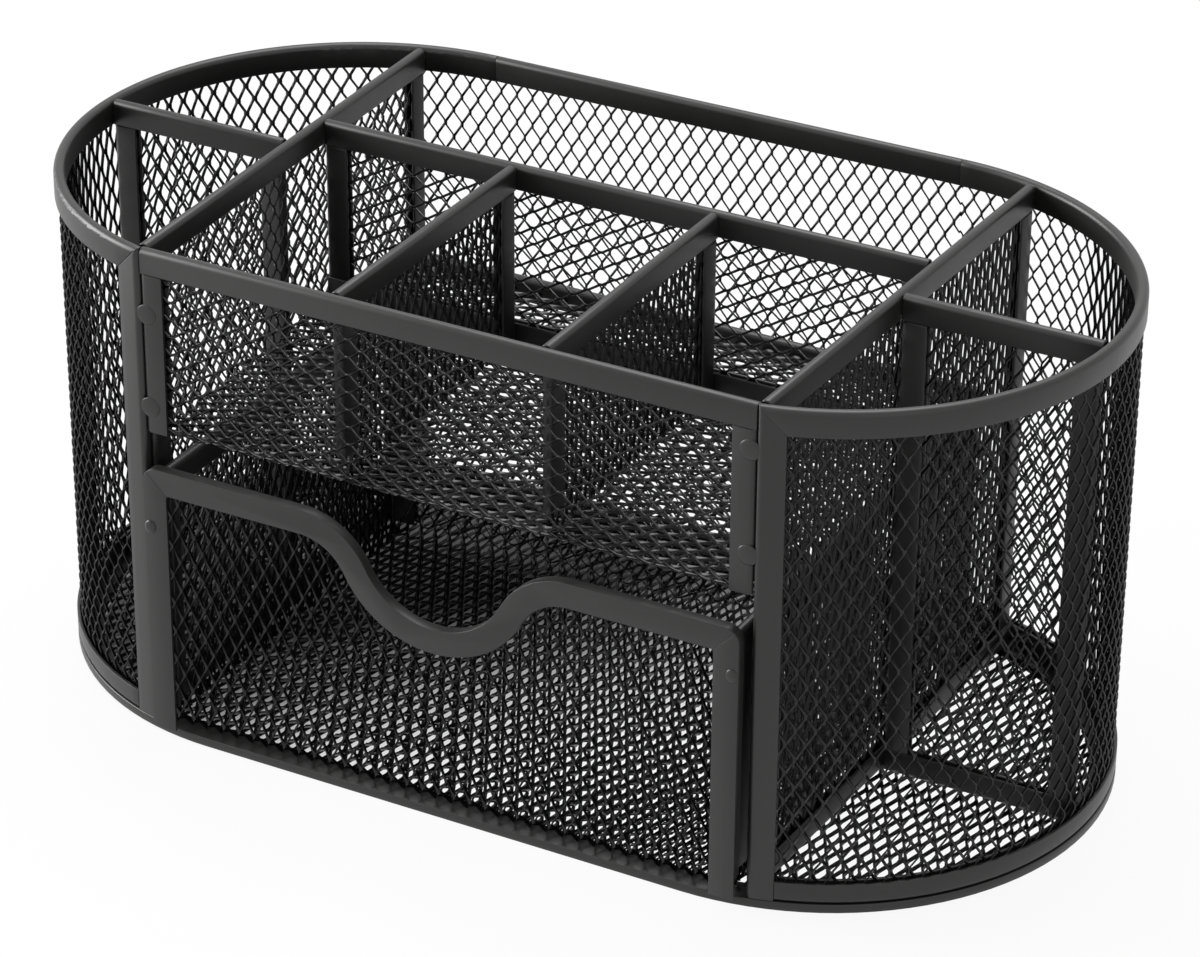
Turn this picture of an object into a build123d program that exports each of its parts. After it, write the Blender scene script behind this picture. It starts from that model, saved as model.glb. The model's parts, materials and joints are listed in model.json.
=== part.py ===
from build123d import *

import os
from math import asin, cos, degrees, radians, sin, sqrt

# Desk organizer of expanded steel mesh: a long tub with round ends, split by upright
# dividers, with a drawer under its front tray.  Every free edge of the mesh is closed by
# a folded steel hem.  Units are millimetres.  +X runs along the tub, the drawer opens
# towards -Y, and +Z is up.  Sizes below are measured from the middle of the tub's plan;
# the finished pieces are moved so that the origin is the middle of the whole footprint.

# ---------------------------------------------------------------- driving dimensions

# tub
end_radius = 56.0            # outer radius of the two round ends
end_centre_x = 50.5          # centre of each round end
tub_height = 100.5           # table to the crown of the top hem

# expanded mesh and the steel strip folded over its edges
mesh_thick = 0.9
hem_wall = 0.6               # strip thickness
hem_depth = 5.0              # height of the folded strip
slot_clear = 0.05            # air on each side of the mesh in its fold
seat_gap = 0.1               # air between two pieces that are welded edge to face

# base
lip_height = 1.8             # flat hem round the base
strip_height = 4.2           # hem along the bottom of the wall

# front opening and upper front panel
post_offset = 12.3           # edge of the opening, out from a round end's centre
post_width = 5.2             # upright hem beside the opening, along the wall
seam_gap = 0.3               # between a post and the front panel
panel_recess = 0.43          # the panel's face lies this far behind the posts' edges
panel_side_hem = 4.6         # width of the panel's upright hems
panel_hem_lift = 1.5         # those hems stop this far above the tray's floor

# tray over the drawer
tray_floor_z = 62.0          # middle of the tray's mesh floor
tray_bend = 4.0              # inside radius where the front panel turns into the floor

# dividers
side_divider_set_back = 0.2  # outside the opening's edge, at the front
side_divider_splay = 3.0     # as much further out at the back
centre_divider_y = 12.0
short_divider_x = {"left": -22.2, "right": 20.5}
end_divider_y = {"left": 0.15, "right": -2.75}
stop_panel_y = 36.0          # upright panel that the drawer closes against
stop_panel_rise = 2.2        # its top, above the tray's floor

# drawer
drawer_proud = 3.1           # its face, in front of the upper panel
drawer_post_gap = 1.1        # beside its front
drawer_side_gap = 1.1        # beside its body
drawer_lift = 0.5            # over the base's lip
drawer_top_gap = 3.75        # under the tray
drawer_side_drop = 1.8       # sides and back lower than the shoulders of the front
drawer_back_gap = 1.5        # in front of the stop panel
drawer_bend = 3.5            # inside radius where the front and back turn into the floor
drawer_corner = 3.0          # rounded top corners of the front
dip_depth = 17.2             # finger dip in the front's top edge
dip_half_width = 28.0

# spot welds: a low pad with bevelled edges
weld_width = 2.4
weld_tall = 3.2
weld_thick = 0.5
weld_bevel = 0.3
panel_weld_drop = {"left": 12.9, "right": 8.8}     # upper ones, below the rim
panel_weld_rise = {"left": 5.2, "right": 7.8}      # lower ones, above the hems' ends
drawer_weld_drop = {"left": 12.3, "right": 9.3}    # below the shoulders of the front

# ---------------------------------------------------------------- derived sizes

hem_thick = mesh_thick + 2 * (slot_clear + hem_wall)
half_hem = hem_thick / 2
slot_half = mesh_thick / 2 + slot_clear
mesh_edge = hem_wall + slot_clear         # from a hem's crown to the mesh inside it
wall_radius = end_radius - half_hem       # middle of the wall's mesh
inner_radius = end_radius - hem_thick     # inner face of the wall's hems

post_inner_x = end_centre_x + post_offset
post_start = degrees(asin(post_offset / end_radius)) - 90
post_end = post_start + degrees(post_width / end_radius)
panel_half_width = post_inner_x - seam_gap
panel_face_y = panel_recess - sqrt(end_radius**2 - post_offset**2)
panel_y = panel_face_y + half_hem
panel_side_hem_low = tray_floor_z + panel_hem_lift
tray_top = tray_floor_z + mesh_thick / 2
tray_under = tray_floor_z - mesh_thick / 2

side_divider_x_front = post_inner_x + side_divider_set_back
side_divider_x_back = side_divider_x_front + side_divider_splay
stop_panel_top = tray_floor_z + stop_panel_rise

drawer_face_y = panel_face_y - drawer_proud
drawer_front_y = drawer_face_y + half_hem
drawer_half_width = post_inner_x - drawer_post_gap
drawer_body_half = side_divider_x_front - half_hem - drawer_side_gap
drawer_wrap_half = drawer_body_half - half_hem - slot_half
drawer_bottom = lip_height + drawer_lift
drawer_bend_top = drawer_bottom + mesh_thick + drawer_bend + seat_gap
drawer_top = tray_under - drawer_top_gap
drawer_side_top = drawer_top - drawer_side_drop
drawer_back_y = stop_panel_y - half_hem - drawer_back_gap
footprint_shift = (-drawer_face_y - end_radius) / 2

SIDES = {"left": -1, "right": 1}


def wall_y_at(x):
    """Distance from the tub's long axis to the inner face of the wall's hems at x."""
    reach = max(abs(x) - end_centre_x, 0)
    return sqrt(inner_radius**2 - reach**2)


def wall_x_at(y):
    """Distance from the tub's middle to the inner face of the round end at y."""
    return end_centre_x + sqrt(inner_radius**2 - y**2)


side_front_y = panel_face_y + hem_thick + seat_gap
side_back_y = wall_y_at(side_divider_x_back + half_hem) - seat_gap


def side_divider_x(y):
    """Middle of the right side divider at y; the two dividers splay towards the back."""
    share = (y - side_front_y) / (side_back_y - side_front_y)
    return side_divider_x_front + share * (side_divider_x_back - side_divider_x_front)


# ---------------------------------------------------------------- shared shapes


def hem_profile(depth=hem_depth):
    """Section of a folded hem: crown at the origin, legs down, slot for the mesh."""
    legs = Pos(0, -(depth + half_hem) / 2) * Rectangle(hem_thick, depth - half_hem)
    crown = Pos(0, -half_hem) * Circle(half_hem)
    slot = Pos(0, -(depth + hem_wall) / 2) * Rectangle(2 * slot_half, depth - hem_wall)
    return legs + crown - slot


def hem_bar(length, depth=hem_depth):
    """Straight hem along +X from the origin, its crown up at z = 0."""
    return extrude(Plane.YZ * hem_profile(depth), amount=length)


def hem_up(height, depth=hem_depth):
    """Upright hem from z = 0, its crown facing -X at x = 0."""
    return Rot(0, -90, 0) * hem_bar(height, depth)


def hem_down(length, depth=hem_depth):
    """Straight hem along +X with its crown down at z = 0."""
    return Rot(180, 0, 0) * hem_bar(length, depth)


def upright_sheet(length, z_low, z_high):
    """Flat mesh sheet along +X from the origin, centred on the XZ plane."""
    sheet = Box(length, mesh_thick, z_high - z_low, align=(Align.MIN, Align.CENTER, Align.MIN))
    return Pos(0, 0, z_low) * sheet


def along(start, end):
    """Location that carries the +X axis onto the plan line from start to end."""
    run = Vector(end[0] - start[0], end[1] - start[1], 0)
    return Location(Plane(origin=(start[0], start[1], 0), x_dir=run, z_dir=(0, 0, 1)))


def arc_about(centre, start, end):
    """Arc round a centre from start to end, the short way."""
    middle = Vector(*centre)
    to_start = Vector(*start) - middle
    half_way = (to_start + Vector(*end) - middle).normalized() * to_start.length
    return ThreePointArc(start, middle + half_way, end)


def hemmed_panel(name, start, end, z_low, z_high, front_low=None, bottom_hem=False):
    """Upright mesh panel with hems along its top and ends, and maybe its bottom.

    front_low lifts the first end's hem, and notches the mesh below it, over a bend.
    """
    place = along(start, end)
    length = sqrt((end[0] - start[0]) ** 2 + (end[1] - start[1]) ** 2)
    sheet_low = z_low + mesh_edge if bottom_hem else z_low
    end_low = z_low + hem_depth if bottom_hem else z_low
    first_low = end_low if front_low is None else front_low
    end_top = z_high - hem_depth
    sheet = Pos(mesh_edge, 0, 0) * upright_sheet(length - 2 * mesh_edge, sheet_low, z_high - mesh_edge)
    if front_low is not None:
        notch = front_low - z_low
        sheet -= Pos(0, 0, z_low) * Box(2 * notch, hem_depth, 2 * notch)
    first = Pos(0, 0, first_low) * hem_up(end_top - first_low)
    last = Pos(length, 0, end_low) * Rot(0, 0, 180) * hem_up(end_top - end_low)
    pieces = {
        f"{name}_mesh": place * sheet,
        f"{name}_top_hem": place * Pos(0, 0, z_high) * hem_bar(length),
        f"{name}_end_hems": place * first + place * last,
    }
    if bottom_hem:
        pieces[f"{name}_bottom_hem"] = place * Pos(0, 0, z_low) * hem_down(length)
    return pieces


def stadium(radius):
    """Plan outline of the tub at one radius."""
    return SlotCenterToCenter(2 * end_centre_x, 2 * radius)


def swept_end(profile, side, z, start, end):
    """Turn a section round one end of the tub, from one angle to another off +X."""
    section = Plane.XZ * Pos(wall_radius, z) * profile
    turned = Rot(0, 0, start) * revolve(section, Axis.Z, end - start)
    right = Pos(end_centre_x, 0, 0) * turned
    return right if side == "right" else mirror(right, about=Plane.YZ)


def basin(y_front, y_back, z_low, z_high, corner, both):
    """Face in Y and Z with its lower front corner rounded, and maybe its lower back one."""
    face = make_face(Polyline((y_front, z_high), (y_front, z_low), (y_back, z_low),
                              (y_back, z_high), close=True))
    low = face.vertices().sort_by(Axis.Y)[:2].sort_by(Axis.X)
    return fillet(low if both else low[:1], corner)


def bent_section(y_front, y_back, z_low, z_high, inside, both):
    """Section of a mesh strip that runs down the front, bends, and lies flat.

    Where both is true it bends up again at the back; otherwise it ends square at y_back.
    """
    outer = basin(y_front, y_back, z_low, z_high, inside + mesh_thick, both)
    inner_back = y_back - mesh_thick if both else y_back + mesh_thick
    inner = basin(y_front + mesh_thick, inner_back, z_low + mesh_thick, z_high + mesh_thick, inside, both)
    return outer - inner


def outer_leg_below(hem, mesh_y, z_top):
    """Trim a hem to its outer leg below z_top, where the mesh bends away behind it."""
    behind = Box(4 * end_radius, hem_depth, tub_height, align=(Align.CENTER, Align.MIN, Align.MAX))
    return hem - Pos(0, mesh_y - slot_half, z_top) * behind


# ---------------------------------------------------------------- tub


def base():
    """Flat mesh floor in a flat folded lip that follows the tub's outline."""
    ring = extrude(stadium(end_radius) - stadium(end_radius - hem_depth), lip_height)
    slot = extrude(stadium(end_radius - hem_wall), 2 * slot_half)
    floor = extrude(stadium(end_radius - mesh_edge), mesh_thick)
    slot_z = (lip_height - 2 * slot_half) / 2
    return {
        "base_rim": ring - Pos(0, 0, slot_z) * slot,
        "base_mesh": Pos(0, 0, slot_z + slot_clear) * floor,
    }


def wall_mesh():
    """One strip of mesh round the ends and back, kept as three lengths."""
    z_low = lip_height + mesh_edge
    height = tub_height - mesh_edge - z_low
    section = Pos(0, height / 2) * Rectangle(mesh_thick, height)
    start = post_start + degrees(mesh_edge / wall_radius)
    pieces = {"wall_mesh_back": along((-end_centre_x, wall_radius), (end_centre_x, wall_radius))
              * upright_sheet(2 * end_centre_x, z_low, z_low + height)}
    for side in SIDES:
        pieces[f"wall_mesh_{side}"] = swept_end(section, side, z_low, start, 90)
    return pieces


def mitre_plane():
    """Plane of the sloping joint between the right post and the top hem, facing up."""
    mid = radians((post_start + post_end) / 2)
    outward = Vector(cos(mid), sin(mid), 0)
    round_the_end = Vector(-sin(mid), cos(mid), 0)
    slope = round_the_end * post_width - Vector(0, 0, hem_depth)
    corner = Vector(end_centre_x + end_radius * cos(radians(post_start)),
                    end_radius * sin(radians(post_start)), tub_height)
    return Plane(origin=corner, x_dir=outward, z_dir=outward.cross(slope))


def arc_band(thickness, start, end):
    """Plan strip along the right end's wall, between two angles."""
    outer = wall_radius + thickness / 2
    inner = wall_radius - thickness / 2
    pts = []
    for angle, radius in ((start, outer), (end, outer), (end, inner), (start, inner)):
        pts.append((end_centre_x + radius * cos(radians(angle)), radius * sin(radians(angle))))
    outer_arc = arc_about((end_centre_x, 0), pts[0], pts[1])
    inner_arc = arc_about((end_centre_x, 0), pts[2], pts[3])
    return make_face([outer_arc, Line(pts[1], pts[2]), inner_arc, Line(pts[3], pts[0])])


def post_section():
    """Plan section of the upright hem beside the front opening, on the right."""
    crown_angle = post_start + degrees(half_hem / wall_radius)
    crown_mid = (end_centre_x + wall_radius * cos(radians(crown_angle)),
                 wall_radius * sin(radians(crown_angle)))
    slot_start = post_start + degrees(hem_wall / wall_radius)
    legs = arc_band(hem_thick, crown_angle, post_end)
    slot = arc_band(2 * slot_half, slot_start, post_end + 1)
    return legs + Pos(*crown_mid) * Circle(half_hem) - slot


def wall_hems():
    """Top hem, bottom hem and the two posts, all folded over the edges of the wall."""
    pieces = {
        "top_rim_back": Pos(-end_centre_x, wall_radius, tub_height) * hem_bar(2 * end_centre_x),
        "bottom_strip_back": Pos(-end_centre_x, wall_radius, lip_height)
        * hem_down(2 * end_centre_x, strip_height),
    }
    crown_down = Rot(0, 0, 180) * hem_profile(strip_height)
    mitre = mitre_plane()
    post = Pos(0, 0, lip_height) * extrude(post_section(), tub_height - lip_height)
    post = split(post, bisect_by=mitre, keep=Keep.BOTTOM)
    rim = swept_end(hem_profile(), "right", tub_height, post_start, 90)
    rim = split(rim, bisect_by=mitre, keep=Keep.TOP)
    for side in SIDES:
        pieces[f"bottom_strip_{side}"] = swept_end(crown_down, side, lip_height, post_end, 90)
        pieces[f"post_{side}"] = post if side == "right" else mirror(post, about=Plane.YZ)
        pieces[f"top_rim_{side}"] = rim if side == "right" else mirror(rim, about=Plane.YZ)
    return pieces


# ---------------------------------------------------------------- front panel and tray


def tray_outline():
    """Plan of the tray: as wide as the front panel there, then between the side dividers."""
    panel_back_y = panel_face_y + hem_thick
    panel_x = panel_half_width - mesh_edge
    front_x = side_divider_x_front - half_hem - seat_gap
    back_x = side_divider_x(stop_panel_y) - half_hem - seat_gap
    right = [(panel_x, panel_face_y), (panel_x, panel_back_y), (front_x, panel_back_y), (back_x, stop_panel_y)]
    left = [(-x, y) for x, y in reversed(right)]
    return make_face(Polyline(*right, *left, close=True))


def front_and_tray():
    """The upper front panel, whose mesh bends inward to become the tray's floor."""
    width = 2 * (side_divider_x_back + hem_thick)
    back_y = stop_panel_y - half_hem - seat_gap
    strip = bent_section(panel_y - mesh_thick / 2, back_y, tray_under, tub_height - mesh_edge,
                         tray_bend, both=False)
    sheet = Pos(-width / 2, 0, 0) * extrude(Plane.YZ * strip, amount=width)
    sheet = sheet & extrude(tray_outline(), tub_height)
    top = Pos(-panel_half_width, panel_y, tub_height) * hem_bar(2 * panel_half_width)
    pieces = {"front_panel_and_tray_mesh": sheet, "front_panel_top_hem": top}
    side_hem = hem_up(tub_height - hem_depth - panel_side_hem_low, panel_side_hem)
    bend_top = tray_under + mesh_thick + tray_bend + seat_gap
    for side, sign in SIDES.items():
        turned = side_hem if side == "left" else Rot(0, 0, 180) * side_hem
        placed = Pos(sign * panel_half_width, panel_y, panel_side_hem_low) * turned
        pieces[f"front_panel_hem_{side}"] = outer_leg_below(placed, panel_y, bend_top)
    return pieces


# ---------------------------------------------------------------- dividers


def dividers():
    """Every upright divider, and the panel behind the drawer."""
    pieces = {}
    for side, sign in SIDES.items():
        front = (sign * side_divider_x_front, side_front_y)
        back = (sign * side_divider_x_back, side_back_y)
        pieces |= hemmed_panel(f"side_divider_{side}", front, back, lip_height, tub_height, bottom_hem=True)
        x = short_divider_x[side]
        pieces |= hemmed_panel(f"short_divider_{side}", (x, side_front_y),
                               (x, centre_divider_y - half_hem - seat_gap), tray_top + seat_gap,
                               tub_height, front_low=tray_top + tray_bend + mesh_thick)
        y = end_divider_y[side]
        inner = (sign * (side_divider_x(y) + half_hem + seat_gap), y)
        outer = (sign * (wall_x_at(abs(y) + half_hem) - seat_gap), y)
        pieces |= hemmed_panel(f"end_divider_{side}", inner, outer, lip_height, tub_height, bottom_hem=True)
    centre_x = side_divider_x(centre_divider_y) - half_hem - seat_gap
    pieces |= hemmed_panel("centre_divider", (-centre_x, centre_divider_y), (centre_x, centre_divider_y),
                           tray_top + seat_gap, tub_height, bottom_hem=True)
    stop_x = side_divider_x(stop_panel_y) - half_hem - seat_gap
    pieces |= hemmed_panel("drawer_stop_panel", (-stop_x, stop_panel_y), (stop_x, stop_panel_y),
                           lip_height, stop_panel_top)
    return pieces


# ---------------------------------------------------------------- drawer


def dip_line(inset):
    """Right half of the drawer front's top edge, lowered by inset.

    The dip is an arc that curves up at the middle and one that curves down at the
    shoulder.  They have one radius and meet half way, so an inset only grows or
    shrinks them about their centres.
    """
    radius = (dip_half_width**2 + dip_depth**2) / (4 * dip_depth)
    level = drawer_top - inset
    low = level - dip_depth
    valley_centre = (0, low + inset + radius)
    shoulder_centre = (dip_half_width, level + inset - radius)
    lean = asin(dip_half_width / (2 * radius))
    meeting = (dip_half_width / 2 + inset * sin(lean),
               drawer_top - dip_depth / 2 - inset * cos(lean))
    return [
        Line((drawer_half_width - inset, level), (dip_half_width, level)),
        arc_about(shoulder_centre, (dip_half_width, level), meeting),
        arc_about(valley_centre, meeting, (0, low)),
    ]


def front_outline(inset):
    """Face of the drawer's front, in X and Z, drawn in by inset from its edges."""
    right = dip_line(inset)
    left = [mirror(edge, about=Plane.YZ) for edge in right]
    half = drawer_half_width - inset
    level = drawer_top - inset
    low = drawer_bottom
    sides = [Line((half, low), (half, level)), Line((-half, low), (-half, level)),
             Line((-half, low), (half, low))]
    face = make_face([*right, *left, *sides])
    top_corners = [v for v in face.vertices() if abs(v.X) > half - slot_clear and v.Y > low + hem_depth]
    return fillet(top_corners, max(drawer_corner - inset, hem_wall))


def front_slab(inset, thick):
    """Slab of the front's outline, centred on the plane of its mesh."""
    face = Plane.XZ * front_outline(inset)
    return Pos(0, drawer_front_y, 0) * extrude(face, amount=thick / 2, both=True)


def drawer_front_hems():
    """Wavy top hem and two upright hems of the drawer's front, mitred at the corners."""
    frame = front_slab(0, hem_thick) - front_slab(hem_depth, 2 * hem_thick)
    frame -= front_slab(hem_wall, 2 * slot_half)
    inner = drawer_half_width - hem_depth
    frame = outer_leg_below(frame, drawer_front_y, drawer_bend_top)
    pieces = {}
    top = frame
    for side, sign in SIDES.items():
        mitre = Plane(origin=(sign * inner, 0, drawer_top - hem_depth), x_dir=(0, 1, 0),
                      z_dir=(sign, 0, -1))
        upright = split(frame, bisect_by=mitre, keep=Keep.TOP)
        top = split(top, bisect_by=mitre, keep=Keep.BOTTOM)
        pieces[f"drawer_front_hem_{side}"] = upright.solids().sort_by(SortBy.VOLUME)[-1]
    pieces["drawer_front_top_hem"] = top.solids().sort_by(SortBy.VOLUME)[-1]
    return pieces


def drawer_wrap():
    """One strip of mesh bent into the drawer's front, floor and back."""
    back_y = drawer_back_y - half_hem
    strip = bent_section(drawer_front_y - mesh_thick / 2, back_y + mesh_thick / 2, drawer_bottom,
                         drawer_top, drawer_bend, both=True)
    wide = 2 * drawer_half_width
    sheet = Pos(-wide / 2, 0, 0) * extrude(Plane.YZ * strip, amount=wide)
    front = front_slab(mesh_edge, 2 * hem_thick)
    front_part = sheet & front & Pos(0, drawer_front_y, drawer_bend_top) * Box(
        2 * wide, hem_depth, drawer_top, align=(Align.CENTER, Align.CENTER, Align.MIN))
    body = Box(2 * drawer_wrap_half, 2 * end_radius, 2 * drawer_bend_top)
    back_top = drawer_side_top - mesh_edge
    back = Pos(0, back_y, back_top / 2) * Box(2 * drawer_wrap_half, hem_depth, back_top)
    return front_part + (sheet & (body + back))


def drawer_sides():
    """The drawer's two mesh sides with their hems, and the hem along its back."""
    pieces = {}
    middle = drawer_body_half - half_hem
    front_y = drawer_face_y + hem_thick + seat_gap
    back_y = drawer_back_y - hem_thick - seat_gap
    length = back_y - front_y
    for side, sign in SIDES.items():
        x = sign * middle
        place = along((x, front_y), (x, back_y))
        sheet = upright_sheet(length - 2 * mesh_edge, drawer_bottom, drawer_side_top - mesh_edge)
        first = Pos(0, 0, drawer_bend_top) * hem_up(drawer_side_top - hem_depth - drawer_bend_top)
        last = Pos(length, 0, 0) * Rot(0, 0, 180) * first
        pieces[f"drawer_side_{side}_mesh"] = place * Pos(mesh_edge, 0, 0) * sheet
        pieces[f"drawer_side_{side}_top_hem"] = place * Pos(0, 0, drawer_side_top) * hem_bar(length)
        pieces[f"drawer_side_{side}_end_hems"] = place * first + place * last
    back = Pos(-drawer_body_half, drawer_back_y - half_hem, drawer_side_top)
    pieces["drawer_back_hem"] = back * hem_bar(2 * drawer_body_half)
    return pieces


# ---------------------------------------------------------------- welds


def weld(x, face_y, z):
    """Low bevelled pad left by a spot weld on a face that looks towards -Y."""
    pad = Box(weld_width, weld_thick, weld_tall, align=(Align.CENTER, Align.MAX, Align.CENTER))
    front = pad.faces().sort_by(Axis.Y)[0]
    return Pos(x, face_y, z) * chamfer(front.edges(), weld_bevel)


def welds():
    """Spot welds on the upper panel's seams and on the drawer's front."""
    on_panel, on_drawer = [], []
    for side, sign in SIDES.items():
        strip_x = sign * (panel_half_width - panel_side_hem / 2)
        on_panel.append(weld(strip_x, panel_face_y, tub_height - panel_weld_drop[side]))
        on_panel.append(weld(strip_x, panel_face_y, panel_side_hem_low + panel_weld_rise[side]))
        hem_x = sign * (drawer_half_width - hem_depth / 2)
        on_drawer.append(weld(hem_x, drawer_face_y, drawer_top - drawer_weld_drop[side]))
    return {"front_panel_welds": Part() + on_panel, "drawer_welds": Part() + on_drawer}


# ---------------------------------------------------------------- whole object


def organizer():
    """Every piece by name, in its place."""
    pieces = {}
    for group in (base, wall_mesh, wall_hems, front_and_tray, dividers, drawer_front_hems,
                  drawer_sides, welds):
        pieces |= group()
    pieces["drawer_wrap_mesh"] = drawer_wrap()
    return pieces


os.makedirs("parts", exist_ok=True)
for node, shape in organizer().items():
    export_step(Pos(0, footprint_shift, 0) * shape, f"parts/{node}.step")
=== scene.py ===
# %% [markdown]
# # Mesh desk organizer with a drawer
#
# The real thing is pressed from two materials only: expanded steel mesh, and thin steel
# strip folded over every free edge of that mesh.  All of it is sprayed with a satin black
# powder coat.  This file dresses a finished CAD model in those looks.  The CAD model keeps
# the sizes, and every piece made here lies exactly where its CAD piece lies.

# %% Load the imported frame
import json
from math import ceil, cos, pi, radians, sin, sqrt

import bmesh
import bpy
from mathutils import Matrix, Vector

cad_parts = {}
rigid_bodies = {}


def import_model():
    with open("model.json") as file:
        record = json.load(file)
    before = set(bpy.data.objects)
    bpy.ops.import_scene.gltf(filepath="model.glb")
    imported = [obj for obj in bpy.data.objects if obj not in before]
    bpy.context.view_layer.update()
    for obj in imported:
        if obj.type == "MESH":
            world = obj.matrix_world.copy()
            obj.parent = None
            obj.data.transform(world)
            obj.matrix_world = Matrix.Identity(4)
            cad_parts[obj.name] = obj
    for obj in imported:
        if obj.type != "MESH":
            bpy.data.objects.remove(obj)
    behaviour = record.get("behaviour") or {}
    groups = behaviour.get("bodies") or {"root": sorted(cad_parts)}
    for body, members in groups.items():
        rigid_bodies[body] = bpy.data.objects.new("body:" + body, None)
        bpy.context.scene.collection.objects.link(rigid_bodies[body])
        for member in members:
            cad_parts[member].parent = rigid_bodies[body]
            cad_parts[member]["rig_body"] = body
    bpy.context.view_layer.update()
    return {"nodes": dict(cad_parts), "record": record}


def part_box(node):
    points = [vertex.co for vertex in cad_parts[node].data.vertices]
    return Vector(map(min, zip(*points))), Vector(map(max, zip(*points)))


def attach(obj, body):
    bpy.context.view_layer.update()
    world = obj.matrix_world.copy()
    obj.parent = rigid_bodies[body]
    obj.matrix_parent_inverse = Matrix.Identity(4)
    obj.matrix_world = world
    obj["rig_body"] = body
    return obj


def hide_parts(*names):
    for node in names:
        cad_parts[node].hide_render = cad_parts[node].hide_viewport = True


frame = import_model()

MM = 0.001

# %% [markdown]
# ## The camera
#
# The rim, the posts and the dividers are straight or round, so their pictures fix where the
# photograph was taken from: in front, to the right and well above, from about four object
# lengths away.  The numbers below are that fit.  A camera looks along its own -Z axis, so
# its matrix is built from three directions: right, up and back.

# %% Camera where the photographer stood
VIEW_AZIMUTH = radians(28.51)
VIEW_ELEVATION = radians(28.176)
VIEW_DISTANCE = 851.2 * MM
VIEW_ROLL = radians(-0.427)
AIM_HEIGHT = 50.0 * MM
STEP_RIGHT = 2.68 * MM
STEP_DOWN = 4.60 * MM
SENSOR = 36.0
FOCAL = 135.3

tub_middle = Vector((0, (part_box("base_mesh")[0].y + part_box("base_mesh")[1].y) / 2, 0))
back = Vector((sin(VIEW_AZIMUTH) * cos(VIEW_ELEVATION),
               -cos(VIEW_AZIMUTH) * cos(VIEW_ELEVATION),
               sin(VIEW_ELEVATION)))
level_right = Vector((0, 0, 1)).cross(back).normalized()
level_up = back.cross(level_right)
right = level_right * cos(VIEW_ROLL) - level_up * sin(VIEW_ROLL)
up = level_up * cos(VIEW_ROLL) + level_right * sin(VIEW_ROLL)

camera = bpy.data.objects.new("camera", bpy.data.cameras.new("camera"))
bpy.context.scene.collection.objects.link(camera)
camera.data.sensor_width = SENSOR
camera.data.lens = FOCAL
eye = tub_middle + Vector((0, 0, AIM_HEIGHT)) + back * VIEW_DISTANCE
eye += level_right * STEP_RIGHT - level_up * STEP_DOWN
turn = Matrix((right, up, back)).transposed()
camera.matrix_world = Matrix.Translation(eye) @ turn.to_4x4()
bpy.context.scene.camera = camera
bpy.context.scene.view_settings.view_transform = "Standard"
print("camera at", [round(value, 3) for value in eye])

# %% [markdown]
# ## Colours and nodes
#
# Colours are written as the eye sees them, in hex, and one function turns them into the
# linear light values that the renderer works in.  One more function adds a shader node,
# sets its values and wires its inputs, so that every material below reads as a short list.

# %% Helpers for materials
COLOUR_A, COLOUR_B, MIXED_COLOUR = 6, 7, 2     # sockets of a mix node that mixes colours


def hex_light(code):
    """Linear colour of an sRGB hex value, with an alpha of 1."""
    light = []
    for start in (1, 3, 5):
        share = int(code[start:start + 2], 16) / 255
        light.append(share / 12.92 if share <= 0.04045 else ((share + 0.055) / 1.055) ** 2.4)
    return light + [1.0]


def add_node(tree, kind, settings=None, values=None, links=None):
    """Add a node; links names the output that feeds each input."""
    node = tree.nodes.new(kind)
    for name, value in (settings or {}).items():
        setattr(node, name, value)
    for socket, value in (values or {}).items():
        node.inputs[socket].default_value = value
    for socket, output in (links or {}).items():
        tree.links.new(output, node.inputs[socket])
    return node


def new_material(name):
    """An empty node material and its tree."""
    material = bpy.data.materials.new(name)
    material.use_nodes = True
    material.node_tree.nodes.clear()
    return material, material.node_tree


# %% [markdown]
# ## White studio
#
# Product photographs like this one are shot on a white sweep under soft boxes.  The world
# and the floor are plain white to the camera and to reflections, so that the black coat
# mirrors a white room.  What lights the object is a dimmer, even sky and three soft boxes.
# The floor mixes a little real shading into its white, which keeps a faint shadow.  Under the
# organizer, most of all under its back left part, the white is mostly taken away and the
# board is painted dark grey: a painted shadow, so the openings of the base look down on shade.

# %% World
WHITE = hex_light("#ffffff")
SKY = hex_light("#a8a8a8")
SKY_STRENGTH = 0.6

world = bpy.data.worlds.new("white_room")
bpy.context.scene.world = world
world.use_nodes = True
sky = world.node_tree
sky.nodes.clear()


def seen_white(tree):
    """1 for rays that should meet plain white: camera, mirror and see-through rays."""
    rays = add_node(tree, "ShaderNodeLightPath").outputs
    seen = add_node(tree, "ShaderNodeMath", {"operation": "MAXIMUM"},
                    links={0: rays["Is Camera Ray"], 1: rays["Is Glossy Ray"]})
    either = add_node(tree, "ShaderNodeMath", {"operation": "MAXIMUM"},
                      links={0: seen.outputs[0], 1: rays["Is Transmission Ray"]})
    return either.outputs[0]


dim = add_node(sky, "ShaderNodeBackground", values={"Color": SKY, "Strength": SKY_STRENGTH})
white = add_node(sky, "ShaderNodeBackground", values={"Color": WHITE, "Strength": 1.0})
pick = add_node(sky, "ShaderNodeMixShader",
                links={0: seen_white(sky), 1: dim.outputs[0], 2: white.outputs[0]})
add_node(sky, "ShaderNodeOutputWorld", links={"Surface": pick.outputs[0]})

# %% Floor
FLOOR_SIZE = 6.0
# The board's own pale colour in the open, and a painted shadow grey for it under the organizer.
BOARD_OPEN, PAINTED_SHADOW_GREY = hex_light("#f2f2f2"), hex_light("#3c3c3c")
WHITE_OPEN = 0.92          # share of plain white that camera and mirror rays see in the open
PAINTED_LIGHT_POOL = ((0.10, 0.06), (0.27, 0.02), (0.42, 0.22), (0.55, 0.62), (0.68, 0.92))
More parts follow.
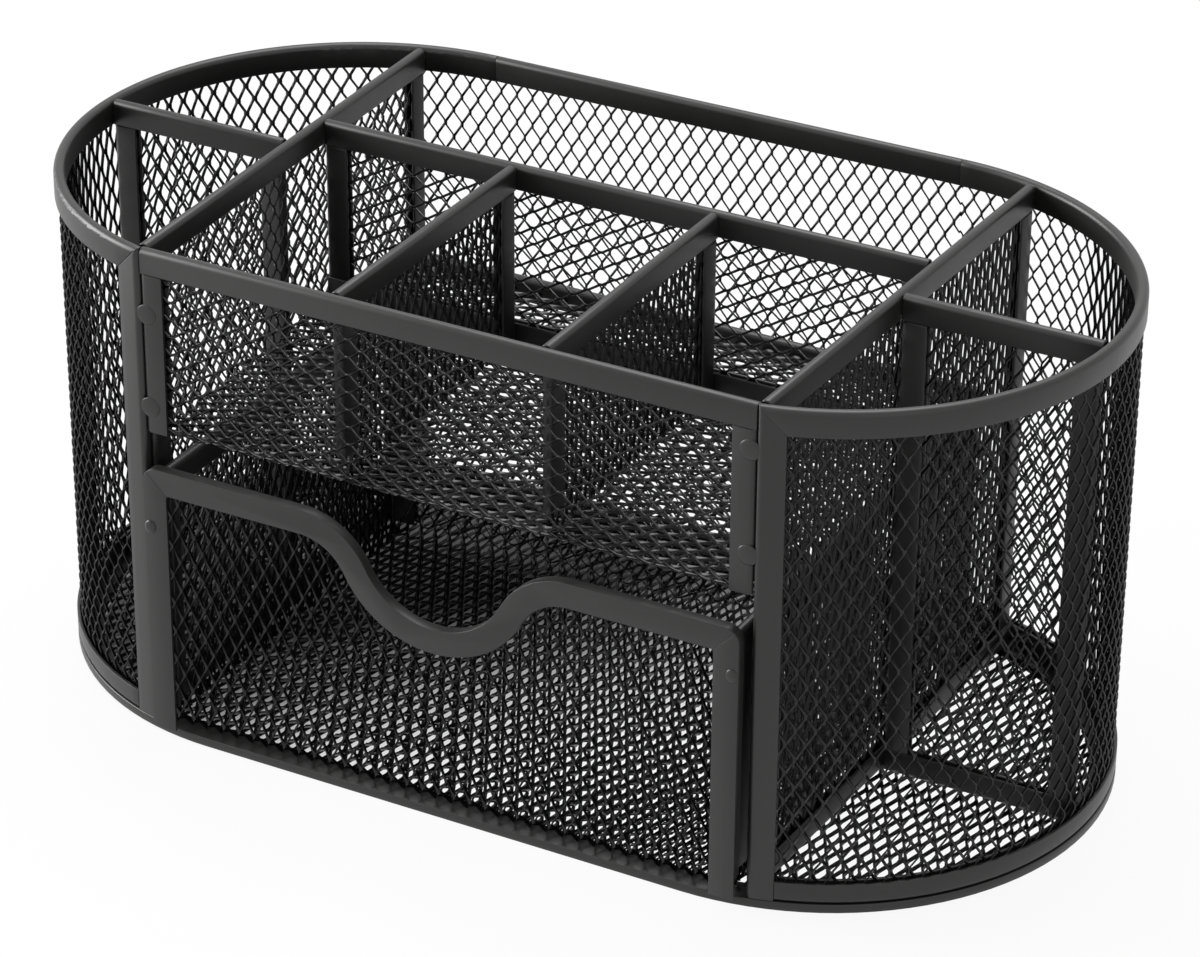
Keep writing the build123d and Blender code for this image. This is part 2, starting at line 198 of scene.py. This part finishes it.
# The painted light pool is that share under the organizer, from its left end (0) to its
# right end (1); the same share paints the board between its shadow grey and its open colour.
PAINTED_POOL_SLANT = 0.9           # how far the pool moves left for each step towards the front
PAINTED_POOL_FADE = 6 * MM         # width of its soft edge, inside the base's outline

base_low, base_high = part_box("base_rim")
foot_radius = (base_high.y - base_low.y) / 2
foot_centre = base_high.x - foot_radius

floor_white_and_painted_shadow, tree = new_material("white_sweep_with_painted_shadow")
glow = add_node(tree, "ShaderNodeEmission", values={"Color": WHITE, "Strength": 1.0})
spot = add_node(tree, "ShaderNodeTexCoord").outputs["Object"]
aside = add_node(tree, "ShaderNodeVectorMath", {"operation": "ABSOLUTE"}, links={0: spot})
past_ends = add_node(tree, "ShaderNodeVectorMath", {"operation": "SUBTRACT"},
                     {1: (foot_centre, 0, 0)}, {0: aside.outputs[0]})
offset = add_node(tree, "ShaderNodeVectorMath", {"operation": "MAXIMUM"}, {1: (0, 0, 0)},
                  {0: past_ends.outputs[0]})
away = add_node(tree, "ShaderNodeVectorMath", {"operation": "LENGTH"},
                links={0: offset.outputs[0]})
across = add_node(tree, "ShaderNodeSeparateXYZ", links={0: spot})
slanted = add_node(tree, "ShaderNodeMath", {"operation": "MULTIPLY_ADD"}, {1: -PAINTED_POOL_SLANT},
                   {0: across.outputs["Y"], 2: across.outputs["X"]})
place = add_node(tree, "ShaderNodeMapRange",
                 values={"From Min": -base_high.x, "From Max": base_high.x},
                 links={"Value": slanted.outputs[0]})
painted_pool = add_node(tree, "ShaderNodeValToRGB", links={0: place.outputs[0]})
for stop, (where, shown) in enumerate(PAINTED_LIGHT_POOL):
    mark = painted_pool.color_ramp.elements[stop] if stop < 2 else painted_pool.color_ramp.elements.new(where)
    mark.position, mark.color = where, (shown, shown, shown, 1)
open_share = add_node(tree, "ShaderNodeMapRange",
                      values={"From Min": foot_radius - PAINTED_POOL_FADE, "From Max": foot_radius,
                              "To Max": WHITE_OPEN},
                      links={"Value": away.outputs["Value"], "To Min": painted_pool.outputs["Color"]})
share = add_node(tree, "ShaderNodeMath", {"operation": "MULTIPLY"},
                 links={0: seen_white(tree), 1: open_share.outputs[0]})
# Painted shadow: the board turns to the shadow grey where the pool's share of white is low.
painted_shadow = add_node(tree, "ShaderNodeMix", {"data_type": "RGBA"}, links={0: open_share.outputs[0]})
painted_shadow.inputs[COLOUR_A].default_value = PAINTED_SHADOW_GREY
painted_shadow.inputs[COLOUR_B].default_value = BOARD_OPEN
board = add_node(tree, "ShaderNodeBsdfDiffuse", links={"Color": painted_shadow.outputs[MIXED_COLOUR]})
mixed = add_node(tree, "ShaderNodeMixShader",
                 links={0: share.outputs[0], 1: board.outputs[0], 2: glow.outputs[0]})
add_node(tree, "ShaderNodeOutputMaterial", links={"Surface": mixed.outputs[0]})

shape = bmesh.new()
bmesh.ops.create_grid(shape, x_segments=1, y_segments=1, size=FLOOR_SIZE / 2)
floor_mesh = bpy.data.meshes.new("floor")
shape.to_mesh(floor_mesh)
shape.free()
floor = bpy.data.objects.new("floor", floor_mesh)
floor.data.materials.append(floor_white_and_painted_shadow)
bpy.context.scene.collection.objects.link(floor)

# %% [markdown]
# ## Soft boxes
#
# The crowns of the folded hems carry one thin bright line, and the left end of the rim is
# lighter than the right.  A large box overhead draws the line, a box on the left gives the
# lighter end, and a weak one on the right keeps the right end readable.

# %% Three soft boxes


def soft_box(name, place, aim, size, power):
    """A square area light at place that looks at aim."""
    lamp = bpy.data.objects.new(name, bpy.data.lights.new(name, "AREA"))
    lamp.data.size = size
    lamp.data.energy = power
    lamp.location = place
    lamp.rotation_mode = "QUATERNION"
    lamp.rotation_quaternion = (Vector(aim) - Vector(place)).to_track_quat("-Z", "Y")
    bpy.context.scene.collection.objects.link(lamp)


middle = (0, 0, AIM_HEIGHT)
soft_box("overhead_box", (-0.15, 0.35, 1.25), middle, 0.9, 14.5)
soft_box("left_box", (-1.35, -0.35, 0.42), middle, 0.8, 26.0)
soft_box("right_box", (1.2, -0.9, 0.7), middle, 0.8, 1.5)
print("lamps:", len(bpy.data.lights))

# %% [markdown]
# ## Satin black powder coat
#
# Powder coat is a plastic film baked onto steel.  It looks almost black where nothing
# bright is mirrored in it, and grey where it mirrors the white room, because the film
# reflects about four percent at IOR 1.5.  The melted grains leave a faint "orange peel"
# of waves about half a millimetre across, and the film's gloss drifts a little over some
# millimetres.  A bump and a roughness noise give the two.  Object coordinates are used, so
# the pattern stays fixed to the steel.

# %% The coat
FILM_IOR = 1.5
STRAND_IOR = 1.4             # the thin strands mirror less of the room than the hems do
DRIFT = 7.0 * MM             # size of the patches in which gloss and colour drift


def powder_coat(name, dark, light, gloss, peel, peel_depth, ior):
    """Satin coat; gloss is (least, most) roughness, and peel the size of its waves."""
    material, tree = new_material(name)
    place = add_node(tree, "ShaderNodeTexCoord").outputs["Object"]
    waves = add_node(tree, "ShaderNodeTexNoise", values={"Scale": 1 / peel, "Detail": 1.0},
                     links={"Vector": place})
    bump = add_node(tree, "ShaderNodeBump", values={"Strength": 1.0, "Distance": peel_depth},
                    links={"Height": waves.outputs[0]})
    drift = add_node(tree, "ShaderNodeTexNoise", values={"Scale": 1 / DRIFT, "Detail": 3.0},
                     links={"Vector": place})
    rough = add_node(tree, "ShaderNodeMapRange",
                     values={"To Min": gloss[0], "To Max": gloss[1]},
                     links={"Value": drift.outputs[0]})
    tint = add_node(tree, "ShaderNodeMix", {"data_type": "RGBA"}, links={0: drift.outputs[0]})
    tint.inputs[COLOUR_A].default_value = hex_light(dark)
    tint.inputs[COLOUR_B].default_value = hex_light(light)
    skin = add_node(tree, "ShaderNodeBsdfPrincipled", values={"IOR": ior},
                    links={"Base Color": tint.outputs[MIXED_COLOUR],
                           "Roughness": rough.outputs[0], "Normal": bump.outputs[0]})
    add_node(tree, "ShaderNodeOutputMaterial", links={"Surface": skin.outputs[0]})
    return material


# Satin flats that read as dark grey, with one soft bright line along each crown.
hem_coat = powder_coat("satin_black_powder_coat_on_folded_strip", "#1a1a19", "#222221",
                       (0.36, 0.46), 0.6 * MM, 0.004 * MM, FILM_IOR)
# Strands that stay near black, glossier than the hems, so that some of them glint.  Their
# colour is the coat's own near black, set darker than on the hems as painted shade
# for the organizer's dark inside.
mesh_coat_and_painted_shade = powder_coat("satin_black_powder_coat_on_expanded_mesh", "#09090a", "#0e0e0f",
                        (0.18, 0.28), 0.4 * MM, 0.003 * MM, STRAND_IOR)
# The hems' colour with a thicker, wavier film, as paint that has run over a weld.
weld_coat = powder_coat("satin_black_powder_coat_over_weld", "#1a1a19", "#222221",
                        (0.30, 0.40), 0.8 * MM, 0.02 * MM, FILM_IOR)

# %% [markdown]
# ## Folded hems
#
# Each hem is a steel strip folded over the edge of the mesh.  The CAD solids already have
# the fold's round crown and its slot.  A copy of each is merged into one skin, its flat
# triangles are joined, and its sharp edges get a small round, as sheared and painted steel
# has.  Where two hems meet at a mitre, the two rounds leave the fine dark line that shows
# in the photograph.

# %% Copy a hem with soft edges
SAME_POINT = 0.002 * MM      # points nearer than this are one
FLAT = radians(0.5)          # faces that meet at less are one flat
SHARP = radians(38)          # edges that turn more get the round
EDGE_ROUND = 0.24 * MM
SHADE_SHARP = radians(50)    # edges that turn more stay crisp in the shading


def add_piece(name, mesh, node, coat):
    """Put a finished mesh in the scene in place of its CAD node."""
    piece = bpy.data.objects.new(name, mesh)
    bpy.context.scene.collection.objects.link(piece)
    mesh.materials.append(coat)
    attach(piece, frame["nodes"][node]["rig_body"])
    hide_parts(node)


def rounded_copy(node):
    """A bmesh of a CAD node, merged, with its sharp edges rounded."""
    shape = bmesh.new()
    shape.from_mesh(frame["nodes"][node].data)
    bmesh.ops.remove_doubles(shape, verts=shape.verts, dist=SAME_POINT)
    bmesh.ops.dissolve_limit(shape, angle_limit=FLAT, verts=shape.verts, edges=shape.edges)
    sharp = [edge for edge in shape.edges
             if edge.is_manifold and edge.calc_face_angle(0) > SHARP]
    bmesh.ops.bevel(shape, geom=sharp, offset=EDGE_ROUND, segments=2, profile=0.5,
                    affect="EDGES", clamp_overlap=True, material=-1)
    return shape


def smooth_mesh(shape, name, shade_sharp=SHADE_SHARP):
    """Turn a bmesh into a smoothly shaded mesh."""
    mesh = bpy.data.meshes.new(name)
    shape.to_mesh(mesh)
    shape.free()
    mesh.shade_smooth()
    if shade_sharp is not None:
        mesh.set_sharp_from_angle(angle=shade_sharp)
    return mesh


hems = [row["node"] for row in frame["record"]["subparts"]
        if row["material_slot"] == "folded_hem"]
for node in hems:
    mesh = smooth_mesh(rounded_copy(node), node + "_steel")
    add_piece(node + "_steel", mesh, node, hem_coat)
print("folded hems:", len(hems))

# %% [markdown]
# ## Expanded mesh
#
# Expanded mesh isn't woven.  A steel sheet is slit in staggered rows and pulled open.  Each
# slit becomes a six-sided opening, and the bonds between slits twist, so every bond is a
# small tilted plate with four tilted strands.  One family of strands then faces up and the
# other down, which is why one looks thick and dull and the other thin with bright glints.
#
# One bond is a strip of two squares, tilted.  Extruding its two upper edges to the next
# bonds makes its two strands, and that is a whole cell.  Spin with no angle copies the cell
# along a row and the row up the sheet, and merging doubles joins them.

# %% One cell of expanded mesh
WALL_PITCH = (3.53 * MM, 5.90 * MM)      # from opening to opening: the short and the long way
FRONT_PITCH = (3.50 * MM, 5.75 * MM)
DRAWER_PITCH = (3.34 * MM, 6.05 * MM)
BASE_PITCH = (3.28 * MM, 5.96 * MM)
INNER_PITCH = (3.36 * MM, 5.85 * MM)
BOND = 0.75 * MM             # length of the plate between two openings
STRAND = 0.57 * MM           # width of a strand with its paint
BASE_STRAND = 0.76 * MM
STRAND_THICK = 0.32 * MM
TWIST = radians(50)          # tilt of the plates
INNER_OPENING = (1.0 * MM, 1.4 * MM)     # centre of one opening, from a divider's corner


def mesh_cell(side, pitch, strand, twist, bond):
    """A bond and its two upper strands; side is 1 or -1, for which edge stands out."""
    short_way, long_way = pitch
    half = strand * cos(twist)
    rise = strand * sin(twist) * side
    shape = bmesh.new()
    bmesh.ops.create_grid(shape, x_segments=2, y_segments=1, size=1)
    bmesh.ops.scale(shape, vec=(strand, bond / 2, 1), verts=shape.verts)
    bmesh.ops.rotate(shape, matrix=Matrix.Rotation(-twist * side, 3, "Y"), verts=shape.verts)
    tops = [edge for edge in shape.edges if all(v.co.y > 0 for v in edge.verts)]
    for edge in tops:
        lean = 1 if sum(v.co.x for v in edge.verts) > 0 else -1
        grown = bmesh.ops.extrude_edge_only(shape, edges=[edge])["geom"]
        ends = [part for part in grown if isinstance(part, bmesh.types.BMVert)]
        reach = Vector((lean * (short_way / 2 - half), long_way / 2 - bond, -lean * rise))
        bmesh.ops.translate(shape, vec=reach, verts=ends)
    return shape


def repeat(shape, step, count):
    """Copy everything in a bmesh count times, a step apart."""
    everything = shape.verts[:] + shape.edges[:] + shape.faces[:]
    bmesh.ops.spin(shape, geom=everything, cent=(0, 0, 0), axis=(0, 0, 1), dvec=step,
                   angle=0, steps=count, use_duplicate=True)


def mesh_sheet(width, height, side, pitch, opening, long_up=True, strand=STRAND,
               twist=TWIST, bond=BOND):
    """Flat expanded mesh over width by height from the origin; opening is one's centre."""
    short_way, long_way = pitch
    span, rise = (width, height) if long_up else (height, width)
    x, y = opening if long_up else (height - opening[1], opening[0])
    shape = mesh_cell(side, pitch, strand, twist, bond)
    second = bmesh.ops.duplicate(shape, geom=shape.verts[:] + shape.edges[:] + shape.faces[:])
    moved = [part for part in second["geom"] if isinstance(part, bmesh.types.BMVert)]
    bmesh.ops.translate(shape, vec=(short_way / 2, long_way / 2, 0), verts=moved)
    repeat(shape, (short_way, 0, 0), ceil(span / short_way) + 3)
    repeat(shape, (0, long_way, 0), ceil(rise / long_way) + 3)
    shift = ((x - short_way / 2) % short_way - 2 * short_way, y % long_way - 2 * long_way, 0)
    bmesh.ops.translate(shape, vec=shift, verts=shape.verts)
    if not long_up:
        bmesh.ops.rotate(shape, matrix=Matrix.Rotation(-pi / 2, 3, "Z"), verts=shape.verts)
        bmesh.ops.translate(shape, vec=(0, height, 0), verts=shape.verts)
    bmesh.ops.remove_doubles(shape, verts=shape.verts, dist=SAME_POINT)
    for point, outward in (((0, 0, 0), (-1, 0, 0)), ((width, 0, 0), (1, 0, 0)),
                           ((0, 0, 0), (0, -1, 0)), ((0, height, 0), (0, 1, 0))):
        trim(shape, point, outward)
    return shape


def trim(shape, point, outward, faces=None):
    """Cut off what lies beyond a plane; faces limits the cut to some faces."""
    faces = shape.faces[:] if faces is None else faces
    edges = {edge for face in faces for edge in face.edges}
    verts = {vert for face in faces for vert in face.verts}
    bmesh.ops.bisect_plane(shape, geom=[*verts, *edges, *faces], dist=SAME_POINT,
                           plane_co=point, plane_no=outward, clear_outer=True)


def finish_sheet(shape, name, node, thickness=STRAND_THICK):
    """Give a placed sheet its thickness and put it in the scene."""
    bmesh.ops.recalc_face_normals(shape, faces=shape.faces)
    bmesh.ops.solidify(shape, geom=shape.faces[:], thickness=thickness)
    mesh = smooth_mesh(shape, name, None)
    triangles = sum(len(face.vertices) - 2 for face in mesh.polygons)
    print(name, triangles, "triangles")
    add_piece(name, mesh, node, mesh_coat_and_painted_shade)


# %% [markdown]
# ## Upright panels
#
# A divider is a flat sheet that stands between two points of the plan.  The CAD sheet's own
# end points say where, so a splayed divider needs no angle.  The sheet is made lying in X
# and Y, and one matrix stands it up: its X along the panel, its Y up.

# %% Dividers
END_REACH = 0.5 * MM         # points this near a sheet's end belong to the end


def ends_of(node):
    """Plan points at the two ends of a CAD sheet, along the axis it is longest in."""
    low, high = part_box(node)
    axis = 0 if high.x - low.x > high.y - low.y else 1
    points = [vert.co for vert in frame["nodes"][node].data.vertices]
    ends = []
    for limit in (low[axis], high[axis]):
        near = [point for point in points if abs(point[axis] - limit) < END_REACH]
        ends.append(sum(near, Vector()) / len(near))
    return ends


def stand_up(shape, start, end, low):
    """Place a flat sheet upright along a plan line."""
    along = Vector((end.x - start.x, end.y - start.y, 0)).normalized()
    facing = along.cross(Vector((0, 0, 1)))
    place = Matrix((along, Vector((0, 0, 1)), facing)).transposed().to_4x4()
    place.translation = Vector((start.x, start.y, low))
    bmesh.ops.transform(shape, matrix=place, verts=shape.verts)


def divider(node, side, long_up):
    """Expanded mesh in place of a flat upright CAD sheet."""
    start, end = ends_of(node)
    low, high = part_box(node)
    length = Vector((end.x - start.x, end.y - start.y)).length
    shape = mesh_sheet(length, high.z - low.z, side, INNER_PITCH, INNER_OPENING, long_up)
    stand_up(shape, start, end, low.z)
    finish_sheet(shape, node.replace("_mesh", "") + "_strands", node)


for hand, side in (("left", -1), ("right", 1)):
    divider(f"side_divider_{hand}_mesh", side, True)
    divider(f"short_divider_{hand}_mesh", 1, True)
    divider(f"end_divider_{hand}_mesh", 1, True)
    divider(f"drawer_side_{hand}_mesh", 1, True)
divider("centre_divider_mesh", -1, False)
divider("drawer_stop_panel_mesh", -1, False)

# %% [markdown]
# ## The wall
#
# The wall is one strip of mesh bent round both ends and the back.  The sheet is made flat
# and every point is then carried round the plan: its X becomes the way round, its Y the
# height, and its Z the distance out from the middle of the strip.  The three CAD lengths
# are cut from one pattern, so the openings run on across the joints.  In the photograph the
# strands lean one way on the near part of the right end and the other way further round,
# which shows in how much white comes through.  The tilt turns over behind the end divider.

# %% Bend the wall
wall_middle = (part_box("wall_mesh_back")[0].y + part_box("wall_mesh_back")[1].y) / 2
end_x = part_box("wall_mesh_back")[1].x
WALL_RADIUS = wall_middle - tub_middle.y
opening_x = min(abs(vert.co.x) for vert in frame["nodes"]["wall_mesh_right"].data.vertices
                if vert.co.y < tub_middle.y)
open_angle = -pi / 2 + (opening_x - end_x) / WALL_RADIUS
end_run = WALL_RADIUS * (pi / 2 - open_angle)
back_run = 2 * end_x
TURN_AT, TURN_OVER = radians(57), radians(3)      # where the tilt turns over, and how fast
WALL_OPENING = (0.40 * MM, 49.5 * MM)


def round_the_wall(way, height, out):
    """Point of the wall, way along it from the right post, anticlockwise."""
    if end_run <= way <= end_run + back_run:
        return Vector((end_x + end_run - way, wall_middle + out, height))
    right_end = way < end_run
    bend = way if right_end else way - back_run
    angle = open_angle + bend / WALL_RADIUS
    radius = WALL_RADIUS + out
    centre_x = end_x if right_end else -end_x
    return Vector((centre_x + radius * cos(angle), tub_middle.y + radius * sin(angle), height))


def tilt(way):
    """Sign and share of the strands' tilt, way along the wall."""
    return max(-1, min(1, (open_angle + way / WALL_RADIUS - TURN_AT) / TURN_OVER))


def wall_length(part, start, length):
    """One length of the wall's strip, in phase with the others."""
    node = f"wall_mesh_{part}"
    low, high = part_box(node)
    opening = (WALL_OPENING[0] - start, WALL_OPENING[1])
    shape = mesh_sheet(length, high.z - low.z, 1, WALL_PITCH, opening)
    for vert in shape.verts:
        way = start + vert.co.x
        vert.co = round_the_wall(way, low.z + vert.co.y, vert.co.z * tilt(way))
    finish_sheet(shape, f"wall_{part}_strands", node)


wall_length("right", 0, end_run)
wall_length("back", end_run, back_run)
wall_length("left", end_run + back_run, end_run)

# %% [markdown]
# ## The base
#
# The base is a flat sheet with round ends.  Bisecting with planes that touch the outline,
# one after another round each end, cuts it to shape.

# %% Cut the base
BASE_CUTS = 14
BASE_OPENING = (85.45 * MM, -18.5 * MM)      # centre of one opening, read off the photograph
low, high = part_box("base_mesh")
opening = (BASE_OPENING[0] - low.x, BASE_OPENING[1] - low.y)
shape = mesh_sheet(high.x - low.x, high.y - low.y, -1, BASE_PITCH, opening,
                   strand=BASE_STRAND)
bmesh.ops.translate(shape, vec=(low.x, low.y, (low.z + high.z) / 2), verts=shape.verts)
base_radius = (high.y - low.y) / 2
for step in range(BASE_CUTS + 1):
    angle = -pi / 2 + pi * step / BASE_CUTS
    for hand in (1, -1):
        outward = Vector((hand * cos(angle), sin(angle), 0))
        trim(shape, Vector((hand * end_x, tub_middle.y, 0)) + base_radius * outward, outward)
finish_sheet(shape, "base_strands", "base_mesh")

# %% [markdown]
# ## Bent strips
#
# Two sheets are bent over a straight edge.  The upper front panel turns inward at its foot
# and becomes the floor of the tray, and the drawer's front, floor and back are one strip.
# A bent strip is a list of runs: straight ones, and quarter bends of a given radius.  A
# point is carried along that list in the plane of Y and Z, with its X left alone.

# %% Follow a bent strip


def along_runs(runs, start, distance, lift):
    """Point in Y and Z at a distance along the runs, lifted to the outer side."""
    place, heading = Vector(start), Vector((0, -1))
    for length, radius in runs:
        last = (length, radius) == runs[-1]
        step = distance if distance < length or last else length
        left = Vector((-heading.y, heading.x))
        if radius is None:
            place = place + heading * step
        else:
            angle = step / radius
            centre = place + left * radius
            place = centre - left * radius * cos(angle) + heading * radius * sin(angle)
            heading = heading * cos(angle) + left * sin(angle)
        distance -= step
        if distance <= 0:
            break
    outer = Vector((heading.y, -heading.x))
    return place + outer * lift


def quarter(radius):
    """A quarter bend: its length and its radius."""
    return (radius * pi / 2, radius)


def bend_sheet(shape, runs, start, top, x_low):
    """Carry a flat sheet along the runs; its Y hangs down from top."""
    for vert in shape.verts:
        y, z = along_runs(runs, start, top - vert.co.y, vert.co.z)
        vert.co = (x_low + vert.co.x, y, z)


# %% Front panel and tray
SHEET_HALF = 0.45 * MM       # half the CAD sheet's thickness
TRAY_BEND = 4.0 * MM + SHEET_HALF
PANEL_OPENING = (0.86 * MM, 78.5 * MM)       # X and height of one opening, off the photograph
TRAY_SHORT = 1.2 * MM        # the tray's floor ends this far inside the side dividers' middle

low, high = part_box("front_panel_and_tray_mesh")
panel_y = low.y + SHEET_HALF
front_run = high.z - (low.z + SHEET_HALF + TRAY_BEND)
floor_run = high.y - (panel_y + TRAY_BEND)
tray_runs = [(front_run, None), quarter(TRAY_BEND), (floor_run, None)]
strip = sum(length for length, _ in tray_runs)
opening = (PANEL_OPENING[0] - low.x, strip - (high.z - PANEL_OPENING[1]))
shape = mesh_sheet(high.x - low.x, strip, -1, FRONT_PITCH, opening, False)
bend_sheet(shape, tray_runs, (panel_y, high.z), strip, low.x)
for hand, node in ((1, "side_divider_right_mesh"), (-1, "side_divider_left_mesh")):
    start, end = ends_of(node)
    outward = Vector((end.y - start.y, start.x - end.x, 0)).normalized()
    outward *= 1 if outward.x * hand > 0 else -1
    floor_faces = [face for face in shape.faces if face.calc_center_median().y > start.y]
    trim(shape, start - outward * TRAY_SHORT, outward, floor_faces)
finish_sheet(shape, "front_panel_and_tray_strands", "front_panel_and_tray_mesh")

# %% [markdown]
# ## The drawer's strip
#
# The drawer is made of a thinner sheet that is pulled further open, so its plates stand
# steeper.  Through its floor the photograph shows only small specks of ground, so the floor
# and the back get wider strands than the front.  The front is wider than the body and has a
# finger dip in its upper edge.  The dip is two arcs of one radius on each side, which meet
# half way down like a smooth step.  The strands stop a little inside the folded hem that
# follows the same line.

# %% Drawer strip
DRAWER_BOND = 0.42 * MM
DRAWER_THICK = 0.15 * MM
DRAWER_TWIST = radians(70)
DRAWER_FLOOR_STRAND = 1.08 * MM
DRAWER_OPENING = (-36.2 * MM, 26.8 * MM)     # X and height of one opening in the front
DRAWER_BEND = 3.5 * MM + SHEET_HALF
DIP_DEPTH = 17.2 * MM
DIP_HALF_WIDTH = 28.0 * MM
UNDER_HEM = 2.6 * MM         # the strands end this far under the hem's crown
dip_radius = (DIP_HALF_WIDTH ** 2 + DIP_DEPTH ** 2) / (4 * DIP_DEPTH)


def dip_height(x, top):
    """Height of the drawer front's upper edge at x."""
    out = abs(x)
    if out < DIP_HALF_WIDTH / 2:
        return top - DIP_DEPTH + dip_radius - sqrt(dip_radius ** 2 - out ** 2)
    if out < DIP_HALF_WIDTH:
        return top - dip_radius + sqrt(dip_radius ** 2 - (DIP_HALF_WIDTH - out) ** 2)
    return top


low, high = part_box("drawer_wrap_mesh")
drawer_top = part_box("drawer_front_top_hem")[1].z
back_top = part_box("drawer_side_left_mesh")[1].z
body_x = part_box("drawer_side_right_mesh")[0].x
front_y = low.y + SHEET_HALF
rise = low.z + SHEET_HALF + DRAWER_BEND
floor_run = high.y - SHEET_HALF - DRAWER_BEND - (front_y + DRAWER_BEND)
drawer_runs = [(high.z - rise, None), quarter(DRAWER_BEND), (floor_run, None),
               quarter(DRAWER_BEND), (back_top - rise, None)]
strip = sum(length for length, _ in drawer_runs)
opening = (DRAWER_OPENING[0] - low.x, strip - (high.z - DRAWER_OPENING[1]))
shape = mesh_sheet(high.x - low.x, strip, -1, DRAWER_PITCH, opening,
                   twist=DRAWER_TWIST, bond=DRAWER_BOND)
floor_part = mesh_sheet(high.x - low.x, strip, -1, DRAWER_PITCH, opening,
                        strand=DRAWER_FLOOR_STRAND)
seam = strip - (drawer_runs[0][0] + drawer_runs[1][0])
trim(shape, (0, seam, 0), (0, -1, 0))
trim(floor_part, (0, seam, 0), (0, 1, 0))
carrier = bpy.data.meshes.new("drawer_floor")
floor_part.to_mesh(carrier)
floor_part.free()
shape.from_mesh(carrier)
bpy.data.meshes.remove(carrier)
bend_sheet(shape, drawer_runs, (front_y, high.z), strip, low.x)
for hand in (1, -1):
    body = [face for face in shape.faces if face.calc_center_median().z < rise
            or face.calc_center_median().y > front_y + DRAWER_BEND]
    trim(shape, (hand * body_x, 0, 0), (hand, 0, 0), body)
over_dip = []
for face in shape.faces:
    centre = face.calc_center_median()
    in_front = centre.y < front_y + DRAWER_BEND
    if in_front and centre.z > dip_height(centre.x, drawer_top) - UNDER_HEM:
        over_dip.append(face)
bmesh.ops.delete(shape, geom=over_dip, context="FACES")
finish_sheet(shape, "drawer_strip_strands", "drawer_wrap_mesh", DRAWER_THICK)

# %% [markdown]
# ## Spot welds
#
# The front panel's upright hems are welded to the posts beside them, and the drawer's to
# its front.  Paint has run over each weld, so it shows as a soft oval swelling that closes
# the dark seam for a few millimetres.  A sphere is flattened to an oval and set into the
# face, a little to the side of its CAD pad, where the seam is.

# %% Weld swellings
WELDS = {                    # size of the swelling, and step from its CAD pad to the seam
    "front_panel_welds": (Vector((4.2, 0.6, 4.0)) * MM, 1.2 * MM),
    "drawer_welds": (Vector((2.4, 0.9, 2.8)) * MM, 1.2 * MM),
}


def islands(node):
    """Boxes of the separate solids in a CAD node, as (lowest, highest) corners."""
    shape = bmesh.new()
    shape.from_mesh(frame["nodes"][node].data)
    bmesh.ops.remove_doubles(shape, verts=shape.verts, dist=SAME_POINT)
    left, boxes = set(shape.verts), []
    while left:
        found, waiting = [], [left.pop()]
        while waiting:
            vert = waiting.pop()
            found.append(vert.co.copy())
            near = {edge.other_vert(vert) for edge in vert.link_edges} & left
            left -= near
            waiting.extend(near)
        boxes.append((Vector(map(min, *found)), Vector(map(max, *found))))
    shape.free()
    return boxes


for node, (size, step) in WELDS.items():
    shape = bmesh.new()
    for corner, far in islands(node):
        swelling = bmesh.ops.create_icosphere(shape, subdivisions=3, radius=0.5)["verts"]
        bmesh.ops.scale(shape, vec=size, verts=swelling)
        spot = (corner + far) / 2
        spot.x += step if spot.x > 0 else -step
        spot.y = far.y
        bmesh.ops.translate(shape, vec=spot, verts=swelling)
    mesh = smooth_mesh(shape, node + "_swellings")
    add_piece(node + "_swellings", mesh, node, weld_coat)
print("welds:", list(WELDS))
